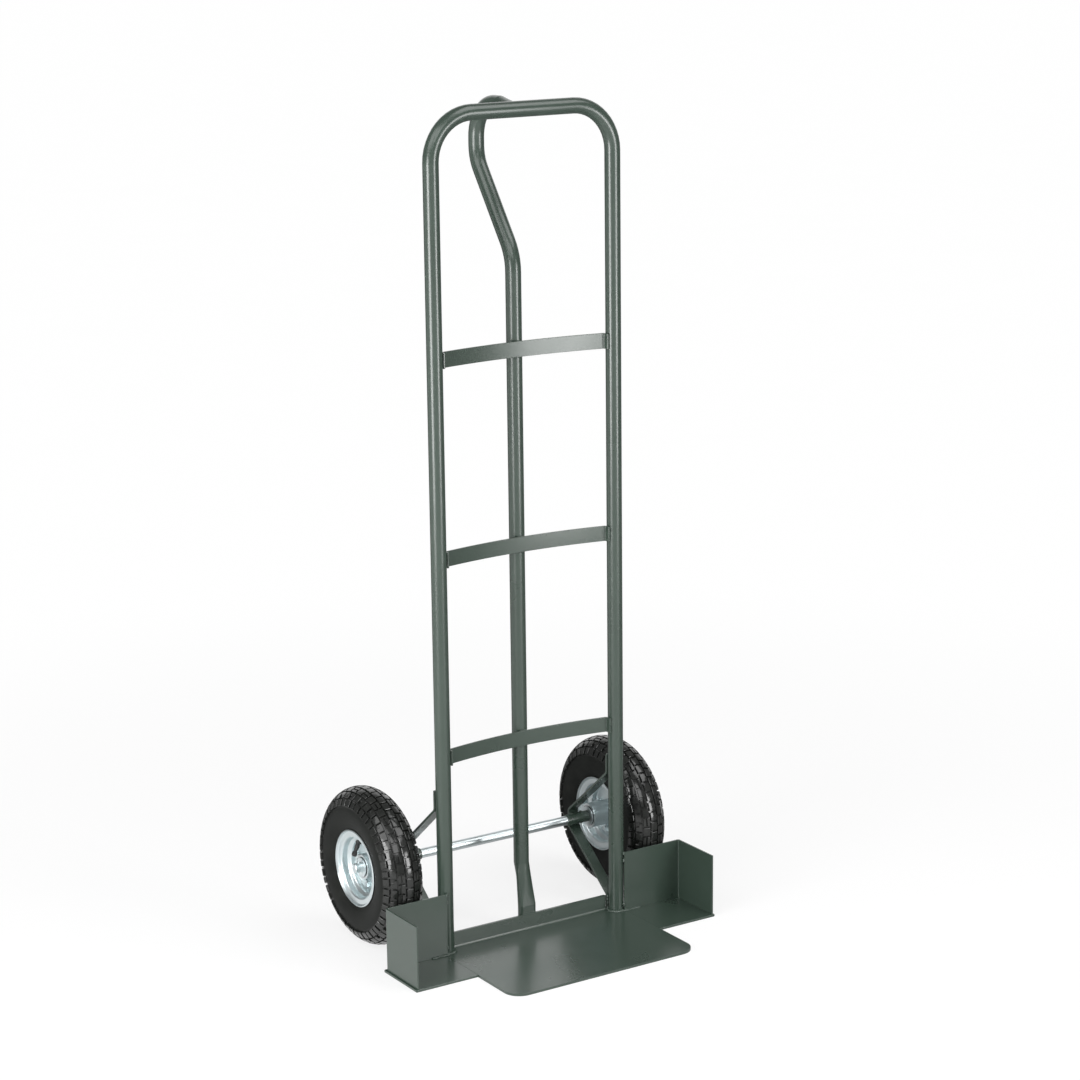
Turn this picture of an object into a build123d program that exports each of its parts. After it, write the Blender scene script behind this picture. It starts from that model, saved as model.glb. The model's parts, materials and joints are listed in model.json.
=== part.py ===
from build123d import *
from math import cos, pi, radians, sin, sqrt, tan
import os

os.makedirs("parts", exist_ok=True)

# All lengths are millimetres. X runs to the object's right, the load side faces -Y,
# the wheels are at +Y, and Z = 0 is the floor under the toe plate and the tyres.

# Main frame, one bent tube
tube_od = 25.0
tube_wall = 2.0
post_spacing = 330.0
frame_height = 1350.0
frame_bend_radius = 72.5

# Gaps that the welds fill, and gaps between pieces that turn or slip together
weld_gap = 0.2
bearing_clearance = 0.05
slip_clearance = 0.1
side_play = 0.4
cut_overrun = 2.0

# Toe plate with its bent-up rear flange
plate_thickness = 4.0
nose_side_inset = 3.0
nose_reach = 217.5
nose_corner_radius = 28.0
flange_top = 29.4
flange_front = 8.0
flange_bend_radius = 3.0
flange_end_gap = 4.2

# Wing plates at the toe plate's sides, and the wheel guards that stand on them
wing_overhang = 14.9
wing_reach = 112.0
wing_corner_radius = 2.0
guard_lip = 3.0
guard_height = 103.0
guard_sheet = 2.5
guard_bend_radius = 4.0
guard_inset = 6.5
guard_front_setback = 1.5

# Three bowed cross straps, with a tab bent forward at each end
lower_strap_height = 328.0
middle_strap_height = 650.0
upper_strap_drop = 145.0
strap_width = 25.0
strap_thickness = 3.0
strap_bow = 15.0
strap_tab_length = 10.0
strap_tab_bend_radius = 4.0
strap_end_setback = 4.3

# Centre handle tube: it leans back from its knee to an upright grip, and loops forward to the top bar
handle_lean = 35.8
handle_setback = 137.0
handle_grip_height = 88.5
handle_loop_rise = 3.5
handle_loop_run = 73.0
handle_knee_radius = 80.0
handle_upper_radius = 60.0
handle_loop_radius = 57.0
handle_round_bottom = 112.0
handle_flat_bottom = 42.0
handle_floor_gap = 6.0
handle_flat_front = 15.0
handle_flat_thickness = 12.7

# Axle, its brackets and their sleeves
axle_diameter = 15.9
axle_end_length = 12.0
axle_end_chamfer = 1.0
bracket_width = 19.0
bracket_thickness = 4.0
bracket_rise = 110.0
bracket_upper_run = 32.0
bracket_foot = 27.0
bracket_nose_height = 28.0
bracket_bend_radius = 8.0
sleeve_wall = 1.5
sleeve_inboard = 22.0

# Fasteners on the axle
washer_diameter = 32.0
washer_thickness = 2.0
split_pin_diameter = 3.8
split_pin_length = 20.0
split_pin_eye_radius = 2.8
split_pin_eye_wire = 1.8
split_pin_offset = 4.0

# Wheels: places along the axle are measured outwards from the wheel's centre plane
tyre_post_gap = 21.6
tyre_guard_gap = 0.7
tyre_diameter = 260.0
tyre_section_width = 72.6
tyre_crown_spread = 2.2
tyre_shoulder_step = 2.8
tyre_sidewall_thickness = 5.0
tyre_crown_thickness = 8.0
tyre_foot_rise = 2.6
tyre_foot_inset = 0.8
tyre_bead_width = 11.5
tread_depth = 4.5
tread_lug_count = 32
tread_notch_width = 6.5
tread_notch_margin = 0.5
tread_rib_width = 3.25
tread_groove_place = 8.0
tread_groove_width = 3.5
inner_tube_wall = 2.0
inner_tube_gap = 0.4

# Pressed steel rim, two halves bolted back to back
rim_sheet = 1.8
rim_flange_place = 26.2
rim_flange_height = 12.0
rim_lip_flare = 3.6
rim_lip_curl = 3.0
rim_seat_radius = 51.4
rim_seat_width = 12.2
rim_well_depth = 6.4
rim_well_slope = 3.5
rim_bend_radius = 2.6

# Hub barrel, bearings and rim bolts
hub_wall = 3.5
hub_inner_end = 47.0
hub_outer_end = 16.0
hub_shoulder = 1.5
bearing_od = 35.0
bearing_width = 11.0
bearing_ring_wall = 2.6
ball_groove_depth = 0.85
ball_count = 8
rim_bolt_diameter = 8.0
rim_bolt_flats = 13.0
rim_bolt_head_height = 5.3
rim_bolt_end_length = 3.0
rim_nut_height = 6.5
rim_bolt_count = 4
rim_bolt_turn = 10.0
hexagon_sides = 6

# Tyre valve
valve_turn = 55.0
valve_root_place = 6.5
valve_root_depth = 3.0
valve_reach_out = 12.5
valve_reach_in = 16.0
valve_diameter = 8.0
valve_chamfer = 1.0
valve_cap_length = 7.0
valve_cap_diameter = 8.8

# Places that follow from the sizes above
tube_radius = tube_od / 2
post_place = post_spacing / 2
top_bar_height = frame_height - tube_radius
nose_half_width = post_place + tube_radius - nose_side_inset
flange_rear = flange_front + plate_thickness
strap_rear = strap_end_setback + strap_bow + strap_thickness / 2
handle_place = strap_rear + weld_gap + tube_radius
guard_rear = -tube_radius - weld_gap
tyre_radius = tyre_diameter / 2
axle_radius = axle_diameter / 2
axle_height = tyre_radius
axle_setback = guard_rear + tyre_guard_gap + tyre_radius
wheel_half_track = post_place + tube_radius + tyre_post_gap + tyre_section_width / 2
wing_half_span = wheel_half_track + tyre_section_width / 2 + wing_overhang
sleeve_bore_radius = axle_radius + slip_clearance
sleeve_radius = sleeve_bore_radius + sleeve_wall
axle_axis = Axis((0, axle_setback, axle_height), (1, 0, 0))
wheel_centre = (wheel_half_track, axle_setback, axle_height)
wheel_section = Plane(origin=wheel_centre, x_dir=(1, 0, 0), z_dir=(0, -1, 0))


def wheel_face(place):
    """Plane across the right wheel's axle, with its X towards the rear and its Y upwards."""
    return Plane(
        origin=(wheel_half_track + place, axle_setback, axle_height),
        x_dir=(0, 1, 0),
        z_dir=(1, 0, 0),
    )


def save(part, name):
    """Labels one piece and writes it."""
    part.label = name
    export_step(part, f"parts/{name}.step")


def save_pair(part, name):
    """Writes a right-hand piece and its mirror image on the left."""
    save(part, f"right_{name}")
    with BuildPart() as left:
        mirror(part, about=Plane.YZ)
    save(left.part, f"left_{name}")


# Main frame tube: up one side, over the top and down the other
with BuildPart() as main_frame_tube:
    with BuildLine(Plane.XZ) as frame_path:
        FilletPolyline(
            (-post_place, plate_thickness),
            (-post_place, top_bar_height),
            (post_place, top_bar_height),
            (post_place, plate_thickness),
            radius=frame_bend_radius,
        )
    with BuildSketch(Plane(origin=(-post_place, 0, plate_thickness), z_dir=(0, 0, 1))):
        Circle(tube_radius)
        Circle(tube_radius - tube_wall, mode=Mode.SUBTRACT)
    sweep(path=frame_path.line)
save(main_frame_tube.part, "main_frame_tube")


# Centre handle tube: a round run with a P-shaped grip, flattened at both ends
handle_loop_top = top_bar_height + handle_loop_rise
handle_lean_top = handle_loop_top - handle_grip_height
handle_knee_height = handle_lean_top - (handle_setback - handle_place) / tan(radians(handle_lean))
handle_round_front = handle_setback - handle_loop_run
handle_foot_place = flange_rear + weld_gap + handle_flat_thickness / 2


def flattened_width(diameter, thickness):
    """Width of a round tube squeezed to a thickness, with its girth unchanged."""
    return thickness + pi * (diameter - thickness) / 2


def handle_solid(inset):
    """The handle tube's body, with its surface moved in by the inset."""
    radius = tube_radius - inset
    flat = handle_flat_thickness - 2 * inset
    width = flattened_width(tube_od, handle_flat_thickness) - 2 * inset
    top_round = Plane(origin=(0, handle_round_front, handle_loop_top), x_dir=(1, 0, 0), z_dir=(0, -1, 0))
    top_flat = Plane(origin=(0, handle_flat_front, top_bar_height), x_dir=(1, 0, 0), z_dir=(0, -1, 0))
    with BuildPart() as body:
        with BuildLine(Plane.YZ) as path:
            FilletPolyline(
                (handle_place, handle_round_bottom),
                (handle_place, handle_knee_height),
                (handle_setback, handle_lean_top),
                (handle_setback, handle_loop_top),
                (handle_round_front, handle_loop_top),
                radius=(handle_knee_radius, handle_upper_radius, handle_loop_radius),
            )
        with BuildSketch(Plane(origin=(0, handle_place, handle_round_bottom), z_dir=(0, 0, 1))):
            Circle(radius)
        sweep(path=path.line)
        with BuildSketch(Plane(origin=(0, handle_place, handle_round_bottom), z_dir=(0, 0, -1))):
            Circle(radius)
        with BuildSketch(Plane(origin=(0, handle_foot_place, handle_flat_bottom), z_dir=(0, 0, -1))):
            SlotOverall(width, flat)
        loft()
        with BuildSketch(Plane(origin=(0, handle_foot_place, handle_flat_bottom), z_dir=(0, 0, -1))):
            SlotOverall(width, flat)
        extrude(amount=handle_flat_bottom - handle_floor_gap)
        with BuildSketch(top_round):
            Circle(radius)
        with BuildSketch(top_flat):
            SlotOverall(width, flat)
        loft()
        with BuildSketch(top_flat):
            SlotOverall(width, flat)
        extrude(amount=handle_flat_front)
    return body.part


with BuildPart() as handle_tube:
    add(handle_solid(0))
    add(handle_solid(tube_wall), mode=Mode.SUBTRACT)
    with BuildSketch(Plane.YZ.offset(-tube_od)):
        with Locations((0, top_bar_height)):
            Circle(tube_radius + weld_gap)
    extrude(amount=2 * tube_od, mode=Mode.SUBTRACT)
save(handle_tube.part, "handle_tube")


# Bowed cross straps, welded between the posts and to the front of the handle tube
strap_end_place = post_place - tube_radius - weld_gap - strap_thickness / 2
strap_heights = {
    "lower": lower_strap_height,
    "middle": middle_strap_height,
    "upper": handle_knee_height - upper_strap_drop,
}
for level, height in strap_heights.items():
    with BuildPart() as strap:
        with BuildSketch(Plane.XY.offset(height - strap_width / 2)):
            with BuildLine() as strap_path:
                bow = ThreePointArc(
                    (-strap_end_place, strap_end_setback),
                    (0, strap_end_setback + strap_bow),
                    (strap_end_place, strap_end_setback),
                )
                Line(bow @ 0, (-strap_end_place, strap_end_setback - strap_tab_length))
                Line(bow @ 1, (strap_end_place, strap_end_setback - strap_tab_length))
                fillet(strap_path.vertices().group_by(Axis.Y)[1], strap_tab_bend_radius)
            trace(line_width=strap_thickness)
        extrude(amount=strap_width)
    save(strap.part, f"{level}_strap")


# Toe plate: flat nose, relieved at the rear between the posts for the bent-up flange
flange_half_length = post_place - tube_radius - flange_end_gap
flange_bend_place = flange_front - flange_bend_radius
with BuildPart() as toe_plate:
    with BuildSketch() as plate_outline:
        with BuildLine():
            Polyline(
                (-nose_half_width, flange_rear),
                (-nose_half_width, -nose_reach),
                (nose_half_width, -nose_reach),
                (nose_half_width, flange_rear),
                close=True,
            )
        make_face()
        fillet(plate_outline.vertices().group_by(Axis.Y)[0], nose_corner_radius)
    extrude(amount=plate_thickness)
    with BuildSketch():
        with Locations((0, flange_bend_place)):
            Rectangle(2 * flange_half_length, flange_rear, align=(Align.CENTER, Align.MIN))
    extrude(amount=plate_thickness, mode=Mode.SUBTRACT)
    with BuildSketch(Plane.YZ.offset(-flange_half_length)):
        with BuildLine():
            flat_run = FilletPolyline(
                (flange_bend_place - plate_thickness, 0),
                (flange_rear, 0),
                (flange_rear, flange_top),
                radius=flange_bend_radius + plate_thickness,
            )
            Line(flat_run @ 1, (flange_front, flange_top))
            inner_run = FilletPolyline(
                (flange_front, flange_top),
                (flange_front, plate_thickness),
                (flange_bend_place - plate_thickness, plate_thickness),
                radius=flange_bend_radius,
            )
            Line(inner_run @ 1, flat_run @ 0)
        make_face()
    extrude(amount=2 * flange_half_length)
save(toe_plate.part, "toe_plate")


# Wing plates, butted against the toe plate's sides
with BuildPart() as wing_plate:
    with BuildSketch() as wing_outline:
        with BuildLine():
            Polyline(
                (nose_half_width, guard_rear + guard_lip),
                (nose_half_width, -wing_reach),
                (wing_half_span, -wing_reach),
                (wing_half_span, guard_rear + guard_lip),
                close=True,
            )
        make_face()
        fillet(wing_outline.vertices().group_by(Axis.X)[-1], wing_corner_radius)
    extrude(amount=plate_thickness)
save_pair(wing_plate.part, "wing_plate")


# Wheel guards, each one bent sheet with a back panel and a side panel
guard_outer = wing_half_span - guard_lip
guard_inner = post_place + guard_inset
guard_front = -wing_reach + guard_front_setback
with BuildPart() as guard:
    with BuildSketch(Plane.XY.offset(plate_thickness)):
        with BuildLine():
            outside = FilletPolyline(
                (guard_inner, guard_rear),
                (guard_outer, guard_rear),
                (guard_outer, guard_front),
                radius=guard_bend_radius,
            )
            inside = FilletPolyline(
                (guard_outer - guard_sheet, guard_front),
                (guard_outer - guard_sheet, guard_rear - guard_sheet),
                (guard_inner, guard_rear - guard_sheet),
                radius=guard_bend_radius - guard_sheet,
            )
            Line(outside @ 1, inside @ 0)
            Line(inside @ 1, outside @ 0)
        make_face()
    extrude(amount=guard_height)
save_pair(guard.part, "guard")


# Axle brackets: a flat strip bent into a V behind each post, with the sleeve inside its nose
bracket_post_place = tube_radius + weld_gap + bracket_thickness / 2
bracket_nose_place = axle_setback + sleeve_radius + weld_gap + bracket_thickness / 2
bracket_bend_height = axle_height + bracket_rise
with BuildPart() as axle_bracket:
    with BuildSketch(Plane.YZ.offset(post_place - bracket_width / 2)):
        with BuildLine():
            FilletPolyline(
                (bracket_post_place, bracket_bend_height + bracket_upper_run),
                (bracket_post_place, bracket_bend_height),
                (bracket_nose_place, axle_height + bracket_nose_height / 2),
                (bracket_nose_place, axle_height - bracket_nose_height / 2),
                (0, bracket_foot - tube_radius),
                radius=bracket_bend_radius,
            )
        trace(line_width=bracket_thickness)
    extrude(amount=bracket_width)
    with BuildSketch(Plane.YZ.offset(post_place - bracket_width / 2)):
        with Locations((tube_radius + weld_gap, 0)):
            Rectangle(tube_od + cut_overrun, axle_height, align=(Align.MAX, Align.CENTER))
    extrude(amount=bracket_width, mode=Mode.SUBTRACT)
save_pair(axle_bracket.part, "axle_bracket")

hub_inner_place = wheel_half_track - hub_inner_end
inner_washer_place = hub_inner_place - side_play - washer_thickness
sleeve_inner_place = post_place - sleeve_inboard
with BuildPart() as axle_sleeve:
    with BuildSketch(Plane.YZ.offset(sleeve_inner_place)):
        with Locations((axle_setback, axle_height)):
            Circle(sleeve_radius)
            Circle(sleeve_bore_radius, mode=Mode.SUBTRACT)
    extrude(amount=inner_washer_place - side_play - sleeve_inner_place)
save_pair(axle_sleeve.part, "axle_sleeve")


# Axle, washers and split pins
hub_outer_place = wheel_half_track + hub_outer_end
outer_washer_place = hub_outer_place + side_play
split_pin_place = outer_washer_place + washer_thickness + split_pin_offset
axle_half_length = split_pin_place + axle_end_length - split_pin_offset
with BuildPart() as axle:
    with BuildSketch(Plane.YZ.offset(-axle_half_length)):
        with Locations((axle_setback, axle_height)):
            Circle(axle_radius)
    extrude(amount=2 * axle_half_length)
    chamfer(axle.edges().filter_by(GeomType.CIRCLE), axle_end_chamfer)
    with BuildSketch(Plane.XY.offset(axle_height - axle_diameter)):
        with Locations((split_pin_place, axle_setback), (-split_pin_place, axle_setback)):
            Circle(split_pin_diameter / 2 + slip_clearance)
    extrude(amount=2 * axle_diameter, mode=Mode.SUBTRACT)
save(axle.part, "axle")


def washer_pair(place, name):
    """Both washers at one distance from the object's middle."""
    with BuildPart() as washers:
        with BuildSketch(Plane.YZ.offset(place), Plane.YZ.offset(-place - washer_thickness)):
            with Locations((axle_setback, axle_height)):
                Circle(washer_diameter / 2)
                Circle(sleeve_bore_radius, mode=Mode.SUBTRACT)
        extrude(amount=washer_thickness)
    save(washers.part, name)


washer_pair(inner_washer_place, "inner_washers")
washer_pair(outer_washer_place, "outer_washers")

with BuildPart() as split_pins:
    for place in (split_pin_place, -split_pin_place):
        with BuildSketch(Plane(origin=(place, axle_setback, axle_height - split_pin_length / 2))):
            Circle(split_pin_diameter / 2)
        extrude(amount=split_pin_length)
        eye_height = axle_height + split_pin_length / 2 + split_pin_eye_radius
        with BuildSketch(Plane(origin=(place, axle_setback, eye_height), x_dir=(0, 0, 1), z_dir=(0, 1, 0))):
            with Locations((split_pin_eye_radius, 0)):
                Circle(split_pin_eye_wire / 2)
        revolve(axis=Axis((place, axle_setback, eye_height), (1, 0, 0)))
save(split_pins.part, "split_pins")


# Tyre: round crown with grooves and notched shoulders, sidewalls and beads
tyre_crown_radius = tyre_section_width / 2 + tyre_crown_spread
tyre_section_radius = tyre_radius - tyre_crown_radius
tyre_shoulder_half_width = tyre_section_width / 2 - tyre_shoulder_step
rim_lip_radius = rim_seat_radius + rim_flange_height
rim_lip_place = rim_flange_place + rim_lip_flare
tyre_foot_radius = rim_lip_radius + tyre_foot_rise
tyre_foot_half_width = rim_lip_place - tyre_foot_inset
cavity_half_width = tyre_section_width / 2 - tyre_sidewall_thickness
bead_foot_radius = rim_seat_radius + weld_gap
bead_outer_place = rim_flange_place - rim_sheet - weld_gap
bead_inner_place = bead_outer_place - tyre_bead_width
cavity_foot = (bead_inner_place + tyre_sidewall_thickness / 2, tyre_foot_radius)
cavity_side = (cavity_half_width, tyre_section_radius)
cavity_top = (0, tyre_radius - tyre_crown_thickness)
tread_floor_radius = tyre_crown_radius - tread_depth
tread_notch_start = tread_groove_place + tread_groove_width / 2 + tread_rib_width
tread_notch_end = tyre_shoulder_half_width - tread_notch_margin
tread_reach = tyre_radius + cut_overrun


def crown_point(place, crown_radius):
    """Point of the round crown at a place across the tyre."""
    return (place, tyre_section_radius + sqrt(crown_radius**2 - place**2))


with BuildPart() as tread_cutter:
    with BuildSketch(wheel_section):
        with BuildLine():
            notch_floor = RadiusArc(
                crown_point(tread_notch_start, tread_floor_radius),
                crown_point(tread_notch_end, tread_floor_radius),
                tread_floor_radius,
            )
            Polyline(
                notch_floor @ 1,
                crown_point(tread_notch_end, tyre_crown_radius + cut_overrun),
                (tread_notch_end, tread_reach),
                (tread_notch_start, tread_reach),
                notch_floor @ 0,
            )
        make_face()
    revolve(axis=axle_axis)
    with BuildSketch(wheel_face(0)):
        with PolarLocations(tyre_section_radius, tread_lug_count):
            Rectangle(tyre_radius, tread_notch_width, align=(Align.MIN, Align.CENTER))
    extrude(amount=tyre_section_width, mode=Mode.INTERSECT)

with BuildPart() as tyre:
    with BuildSketch(wheel_section):
        with BuildLine():
            crown = ThreePointArc(
                (0, tyre_radius),
                crown_point(tyre_shoulder_half_width / 2, tyre_crown_radius),
                crown_point(tyre_shoulder_half_width, tyre_crown_radius),
            )
            side = ThreePointArc(
                crown @ 1,
                (tyre_section_width / 2, tyre_section_radius),
                (tyre_foot_half_width, tyre_foot_radius),
            )
            bead = Polyline(
                side @ 1,
                (bead_outer_place, rim_lip_radius),
                (bead_outer_place, bead_foot_radius + rim_bend_radius),
                (bead_outer_place - rim_bend_radius, bead_foot_radius),
                (bead_inner_place, bead_foot_radius),
                cavity_foot,
            )
            cavity = ThreePointArc(bead @ 1, cavity_side, cavity_top)
            Line(cavity @ 1, crown @ 0)
        make_face()
        mirror(about=Plane.YZ)
    revolve(axis=axle_axis)
    with BuildSketch(wheel_section):
        with Locations((tread_groove_place, tyre_radius), (-tread_groove_place, tyre_radius)):
            Rectangle(tread_groove_width, 2 * tread_depth)
    revolve(axis=axle_axis, mode=Mode.SUBTRACT)
    add(tread_cutter.part, mode=Mode.SUBTRACT)
    add(mirror(tread_cutter.part, about=wheel_face(0), mode=Mode.PRIVATE), mode=Mode.SUBTRACT)
save_pair(tyre.part, "tyre")


# Pressed rim halves: lip, flange, bead seat, well, and a disc bolted back to back at the middle
hub_radius = bearing_od / 2 + hub_wall
rim_well_radius = rim_seat_radius - rim_well_depth
rim_seat_inner_place = rim_flange_place - rim_seat_width
rim_well_place = rim_seat_inner_place - rim_well_slope
rim_bolt_circle_radius = (hub_radius + rim_well_radius - rim_sheet) / 2
valve_root_radius = rim_well_radius - valve_root_depth
rim_seat_middle = rim_seat_radius - rim_sheet / 2
rim_well_middle = rim_well_radius - rim_sheet / 2
valve_lean = Vector(
    valve_reach_out,
    -valve_reach_in * cos(radians(valve_turn)),
    -valve_reach_in * sin(radians(valve_turn)),
)
valve_root = Vector(
    wheel_half_track + valve_root_place,
    axle_setback + valve_root_radius * cos(radians(valve_turn)),
    axle_height + valve_root_radius * sin(radians(valve_turn)),
)
valve_plane = Plane(origin=valve_root, z_dir=valve_lean)


def rim_half(name, holds_valve, side):
    """One rim half, the outer one with side 1 and the inner one with side -1."""
    with BuildPart() as rim:
        with BuildSketch(wheel_section):
            with BuildLine():
                FilletPolyline(
                    (rim_sheet / 2, hub_radius + weld_gap),
                    (rim_sheet / 2, rim_well_middle),
                    (rim_well_place, rim_well_middle),
                    (rim_seat_inner_place, rim_seat_middle),
                    (rim_flange_place - rim_sheet / 2, rim_seat_middle),
                    (rim_flange_place - rim_sheet / 2, rim_lip_radius - rim_lip_curl),
                    (rim_lip_place, rim_lip_radius - rim_sheet / 2),
                    radius=rim_bend_radius,
                )
            trace(line_width=rim_sheet)
            if side < 0:
                mirror(about=Plane.YZ, mode=Mode.REPLACE)
        revolve(axis=axle_axis)
        with BuildSketch(wheel_face(-tyre_section_width)):
            with PolarLocations(rim_bolt_circle_radius, rim_bolt_count, start_angle=rim_bolt_turn):
                Circle(rim_bolt_diameter / 2 + weld_gap)
        extrude(amount=2 * tyre_section_width, mode=Mode.SUBTRACT)
        if holds_valve:
            with BuildSketch(valve_plane.offset(-valve_diameter)):
                Circle(valve_diameter / 2 + weld_gap)
            extrude(amount=2 * valve_diameter, mode=Mode.SUBTRACT)
    save_pair(rim.part, name)


rim_half("outer_rim_half", True, 1)
rim_half("inner_rim_half", False, -1)


# Inner tube, hidden between the tyre and the rim, and hollow for its air
with BuildPart() as inner_tube:
    with BuildSketch(wheel_section):
        with BuildLine():
            ThreePointArc(cavity_foot, cavity_side, cavity_top)
            Polyline(
                cavity_foot,
                (bead_inner_place, bead_foot_radius),
                (rim_well_place - rim_bend_radius, rim_well_radius),
                (0, rim_well_radius),
                cavity_top,
            )
        make_face()
        mirror(about=Plane.YZ)
        offset(amount=-inner_tube_gap, kind=Kind.INTERSECTION, mode=Mode.REPLACE)
        offset(amount=-inner_tube_wall, kind=Kind.INTERSECTION, mode=Mode.SUBTRACT)
    revolve(axis=axle_axis)
save_pair(inner_tube.part, "inner_tube")


# Hub barrel with a bearing seat at each end
with BuildPart() as hub_barrel:
    with BuildSketch(wheel_face(-hub_inner_end)):
        Circle(hub_radius)
        Circle(bearing_od / 2 - hub_shoulder, mode=Mode.SUBTRACT)
    extrude(amount=hub_inner_end + hub_outer_end)
    with BuildSketch(wheel_face(-hub_inner_end), wheel_face(hub_outer_end - bearing_width)):
        Circle(bearing_od / 2 + bearing_clearance)
    extrude(amount=bearing_width, mode=Mode.SUBTRACT)
save_pair(hub_barrel.part, "hub_barrel")


# Ball bearings: rings with a groove for the balls, one bearing at each end of the hub
bearing_places = (-hub_inner_end + bearing_width / 2, hub_outer_end - bearing_width / 2)
inner_ring_bore = axle_radius + bearing_clearance
inner_ring_edge = inner_ring_bore + bearing_ring_wall
outer_ring_edge = bearing_od / 2 - bearing_ring_wall
ball_circle_radius = (inner_ring_edge + outer_ring_edge) / 2
ball_radius = (outer_ring_edge - inner_ring_edge) / 2 + ball_groove_depth


def bearing_rings(inner_radius, outer_radius, name):
    """Both bearings' inner or outer rings."""
    with BuildPart() as rings:
        for place in bearing_places:
            with BuildSketch(wheel_section):
                with Locations((place, 0)):
                    Rectangle(
                        bearing_width - 2 * side_play, outer_radius, align=(Align.CENTER, Align.MIN)
                    )
                    Rectangle(
                        bearing_width, inner_radius, align=(Align.CENTER, Align.MIN), mode=Mode.SUBTRACT
                    )
                with Locations((place, ball_circle_radius)):
                    Circle(ball_radius + bearing_clearance, mode=Mode.SUBTRACT)
            revolve(axis=axle_axis)
    save_pair(rings.part, name)


bearing_rings(inner_ring_bore, inner_ring_edge, "bearing_inner_rings")
bearing_rings(outer_ring_edge, bearing_od / 2, "bearing_outer_rings")

with BuildPart(*[wheel_face(place) for place in bearing_places]) as bearing_balls:
    with PolarLocations(ball_circle_radius, ball_count):
        Sphere(ball_radius)
save_pair(bearing_balls.part, "bearing_balls")


# Rim bolts, their heads on the outer disc and their nuts on the inner one
with BuildPart() as rim_bolts:
    with BuildSketch(wheel_face(rim_sheet)):
        with PolarLocations(rim_bolt_circle_radius, rim_bolt_count, start_angle=rim_bolt_turn):
            RegularPolygon(rim_bolt_flats / 2, hexagon_sides, major_radius=False)
    extrude(amount=rim_bolt_head_height)
    with BuildSketch(wheel_face(rim_sheet)):
        with PolarLocations(rim_bolt_circle_radius, rim_bolt_count, start_angle=rim_bolt_turn):
            Circle(rim_bolt_diameter / 2)
    extrude(amount=-2 * rim_sheet - rim_nut_height - rim_bolt_end_length)
save_pair(rim_bolts.part, "rim_bolts")

with BuildPart() as rim_nuts:
    with BuildSketch(wheel_face(-rim_sheet)):
        with PolarLocations(rim_bolt_circle_radius, rim_bolt_count, start_angle=rim_bolt_turn):
            RegularPolygon(rim_bolt_flats / 2, hexagon_sides, major_radius=False)
            Circle(rim_bolt_diameter / 2 + slip_clearance, mode=Mode.SUBTRACT)
    extrude(amount=-rim_nut_height)
save_pair(rim_nuts.part, "rim_nuts")


# Tyre valve: a rubber stem leaning out of the rim's well, with its cap
with BuildPart() as valve_stem:
    with BuildSketch(valve_plane):
        Circle(valve_diameter / 2)
    extrude(amount=valve_lean.length)
    chamfer(valve_stem.faces().sort_by(Axis(valve_root, valve_lean))[-1].edges(), valve_chamfer)
save_pair(valve_stem.part, "valve_stem")

with BuildPart() as valve_cap:
    with BuildSketch(valve_plane.offset(valve_lean.length)):
        Circle(valve_cap_diameter / 2)
    extrude(amount=valve_cap_length)
    chamfer(valve_cap.faces().sort_by(Axis(valve_root, valve_lean))[-1].edges(), valve_chamfer)
save_pair(valve_cap.part, "valve_cap")
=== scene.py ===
import json
import random
from math import asin, atan2, cos, degrees, hypot, pi, radians, sin, sqrt

import bmesh
import bpy
from mathutils import Matrix, Vector

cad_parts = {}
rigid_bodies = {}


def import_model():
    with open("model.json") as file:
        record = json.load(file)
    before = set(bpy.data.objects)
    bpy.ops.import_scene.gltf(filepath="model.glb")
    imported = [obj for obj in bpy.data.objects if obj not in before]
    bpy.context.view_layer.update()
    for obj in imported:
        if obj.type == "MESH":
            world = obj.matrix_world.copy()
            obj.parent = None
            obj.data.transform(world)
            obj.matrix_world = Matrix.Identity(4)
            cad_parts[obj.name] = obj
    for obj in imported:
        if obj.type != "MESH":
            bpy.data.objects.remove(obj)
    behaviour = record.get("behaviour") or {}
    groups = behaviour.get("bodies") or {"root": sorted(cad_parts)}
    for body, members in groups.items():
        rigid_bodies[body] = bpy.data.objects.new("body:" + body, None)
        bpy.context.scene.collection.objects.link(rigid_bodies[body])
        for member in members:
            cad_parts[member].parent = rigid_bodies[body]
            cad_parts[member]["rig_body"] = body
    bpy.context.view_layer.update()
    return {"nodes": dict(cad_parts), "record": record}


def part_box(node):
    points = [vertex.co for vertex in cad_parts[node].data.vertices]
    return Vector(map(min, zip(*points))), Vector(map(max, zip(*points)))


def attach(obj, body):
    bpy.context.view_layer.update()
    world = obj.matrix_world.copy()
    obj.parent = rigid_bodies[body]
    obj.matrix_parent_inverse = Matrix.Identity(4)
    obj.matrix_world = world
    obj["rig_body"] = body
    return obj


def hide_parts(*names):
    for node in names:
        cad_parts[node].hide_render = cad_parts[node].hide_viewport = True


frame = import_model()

nodes = frame["nodes"]

# lengths are metres: X to the object's right, the load side faces -Y, the floor is at Z = 0


# edit mode helpers

def deselectAll():
    bpy.ops.object.select_all(action="DESELECT")


def makeActive(piece):
    deselectAll()
    piece.select_set(True)
    bpy.context.view_layer.objects.active = piece


def nameIt(piece, name):
    piece.name = name
    piece.data.name = name


def startPiece(name):
    # names the primitive that was just added, and opens it in edit mode with nothing selected
    piece = bpy.context.object
    nameIt(piece, name)
    makeActive(piece)
    bpy.ops.object.mode_set(mode="EDIT")
    bpy.ops.mesh.select_all(action="DESELECT")
    return piece


def closePiece(piece, name):
    # back to object mode, with every modifier and the object's own place applied
    nameIt(piece, name)
    bpy.ops.object.mode_set(mode="OBJECT")
    makeActive(piece)
    for modifier in list(piece.modifiers):
        bpy.ops.object.modifier_apply(modifier=modifier.name)
    bpy.ops.object.transform_apply(location=True, rotation=True, scale=True)
    return piece


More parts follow.
